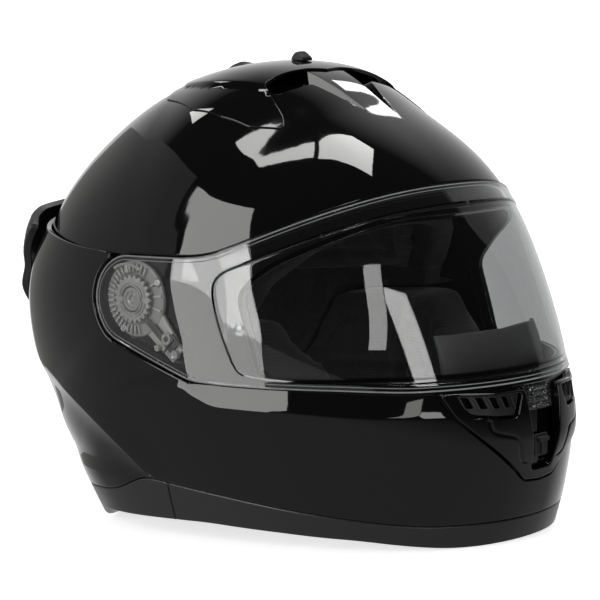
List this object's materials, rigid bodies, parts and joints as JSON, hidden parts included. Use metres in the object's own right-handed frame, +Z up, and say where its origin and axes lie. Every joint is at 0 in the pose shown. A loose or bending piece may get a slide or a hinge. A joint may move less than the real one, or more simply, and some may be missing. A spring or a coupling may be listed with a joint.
{
  "type": "motorcycle helmet",
  "caption": "Full-face motorcycle helmet with lifting clear visor, drop-down sun visor, sliding vents, removable lining and ratchet chin strap.",
  "frame": {"origin": "middle of the box at floor level, between the resting faces", "axes": "front is -Y, the wearer's left is +X, +Z is up"},
  "size_m": [0.2374, 0.3382, 0.2582],
  "materials": {
    "shell_gloss": "black lacquer, high gloss",
    "trim_satin": "black moulded plastic, satin",
    "vent_matte": "black moulded plastic, fine grain",
    "visor_clear": "clear injection-moulded polycarbonate",
    "mechanism_grey": "translucent grey acetal",
    "sun_smoke": "dark smoked polycarbonate",
    "seal_rubber": "black rubber, matte",
    "fastener_steel": "zinc-plated steel",
    "liner_foam": "black expanded polystyrene beads",
    "comfort_fabric": "brushed knit fabric with red stitching",
    "strap_webbing": "woven polyester webbing",
    "buckle_red": "red moulded plastic"
  },
  "bodies": {
    "shell": {"outer_shell": "shell_gloss", "chin_vent_housing": "shell_gloss", "top_vent_fairing": "shell_gloss", "rear_spoiler": "trim_satin", "lower_trim_front": "trim_satin", "lower_trim_rear": "trim_satin", "chin_vent_grille_left": "vent_matte", "chin_vent_grille_right": "vent_matte", "breath_deflector": "vent_matte", "buckle_body": "vent_matte", "visor_base_left": "mechanism_grey", "visor_detent_left": "mechanism_grey", "base_screw_left_1": "fastener_steel", "base_screw_left_2": "fastener_steel", "sun_pivot_left": "fastener_steel", "strap_rivet_left": "fastener_steel", "cheek_pad_left": "comfort_fabric", "chin_strap_left": "strap_webbing", "visor_base_right": "mechanism_grey", "visor_detent_right": "mechanism_grey", "base_screw_right_1": "fastener_steel", "base_screw_right_2": "fastener_steel", "sun_pivot_right": "fastener_steel", "strap_rivet_right": "fastener_steel", "cheek_pad_right": "comfort_fabric", "chin_strap_right": "strap_webbing", "eyeport_gasket": "seal_rubber", "buckle_pin": "fastener_steel", "impact_liner": "liner_foam", "chin_liner": "liner_foam", "crown_pad": "comfort_fabric", "neck_roll": "comfort_fabric", "chin_curtain": "comfort_fabric"},
    "visor": {"visor": "visor_clear", "visor_lock_tab": "visor_clear", "anti_fog_pin_left": "visor_clear", "anti_fog_pin_right": "visor_clear", "visor_ratchet_left": "mechanism_grey", "visor_ratchet_right": "mechanism_grey"},
    "sun_visor": {"sun_visor": "sun_smoke"},
    "sun_visor_slider": {"sun_visor_slider": "vent_matte"},
    "top_vent_slider": {"top_vent_slider": "vent_matte"},
    "chin_vent_slider": {"chin_vent_slider": "vent_matte"},
    "visor_release_left": {"visor_release_left": "vent_matte"},
    "visor_release_right": {"visor_release_right": "vent_matte"},
    "buckle_lever": {"buckle_lever": "buckle_red"},
    "ratchet_tongue": {"ratchet_tongue": "buckle_red"}
  },
  "joints": [
    {"name": "visor_hinge", "type": "hinge", "parent": "shell", "child": "visor", "pos_m": [0, 0.0151, 0.1305], "axis": [-1, 0, 0], "range_deg": [0, 52]},
    {"name": "sun_slider", "type": "slide", "parent": "shell", "child": "sun_visor_slider", "axis": [0, 0.9659, -0.2588], "range_m": [0, 0.012]},
    {"name": "sun_visor_drop", "type": "hinge", "parent": "shell", "child": "sun_visor", "pos_m": [0, 0.0151, 0.1305], "axis": [1, 0, 0], "range_deg": [0, 40]},
    {"name": "top_vent_slide", "type": "slide", "parent": "shell", "child": "top_vent_slider", "axis": [0, 0.9962, 0.0872], "range_m": [0, 0.007]},
    {"name": "chin_vent_slide", "type": "slide", "parent": "shell", "child": "chin_vent_slider", "axis": [0, 0, -1], "range_m": [0, 0.005]},
    {"name": "release_left", "type": "slide", "parent": "shell", "child": "visor_release_left", "axis": [0, -0.7071, -0.7071], "range_m": [0, 0.0025]},
    {"name": "release_right", "type": "slide", "parent": "shell", "child": "visor_release_right", "axis": [0, -0.7071, -0.7071], "range_m": [0, 0.0025]},
    {"name": "buckle_hinge", "type": "hinge", "parent": "shell", "child": "buckle_lever", "pos_m": [0.024, -0.014, 0.0112], "axis": [0, 1, 0], "range_deg": [0, 50]},
    {"name": "tongue_slide", "type": "slide", "parent": "shell", "child": "ratchet_tongue", "axis": [-1, 0, 0], "range_m": [0, 0.024]}
  ],
  "couplings": [
    {"joint": "sun_visor_drop", "follows": "sun_slider", "rad_per_m": 58}
  ]
}
